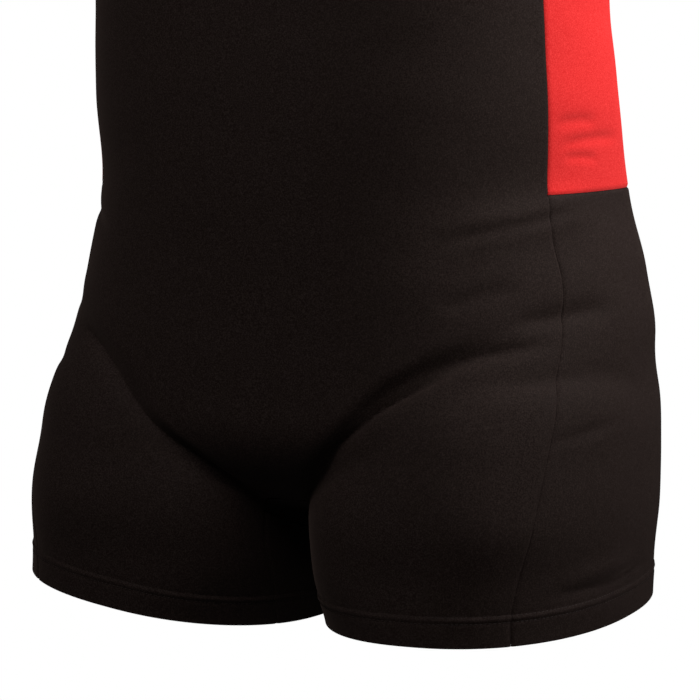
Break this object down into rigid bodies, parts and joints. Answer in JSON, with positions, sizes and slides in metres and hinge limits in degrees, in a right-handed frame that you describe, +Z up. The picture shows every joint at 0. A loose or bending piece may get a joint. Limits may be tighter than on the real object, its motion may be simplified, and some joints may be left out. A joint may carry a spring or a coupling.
{
  "type": "powerlifting singlet",
  "caption": "Sleeveless one-piece stretch singlet with wide shoulder straps, contrast upper side panels, a crotch gusset and short turned-up legs, hollow in its worn shape.",
  "frame": {"origin": "the mount worn_on_shoulders: midway between the two shoulder straps, level with their tops", "axes": "+Z up the wearer's body, +X towards the wearer's left, so that -Y is the front"},
  "size_m": [0.4419, 0.3054, 0.7652],
  "materials": {
    "black_knit": "matte black stretch knit",
    "red_knit": "matte red stretch knit"
  },
  "bodies": {
    "root": {"front_panel": "black_knit", "back_panel": "black_knit", "upper_side_left": "red_knit", "upper_side_right": "red_knit", "lower_side_left": "black_knit", "lower_side_right": "black_knit", "crotch_gusset": "black_knit"}
  },
  "joints": []
}
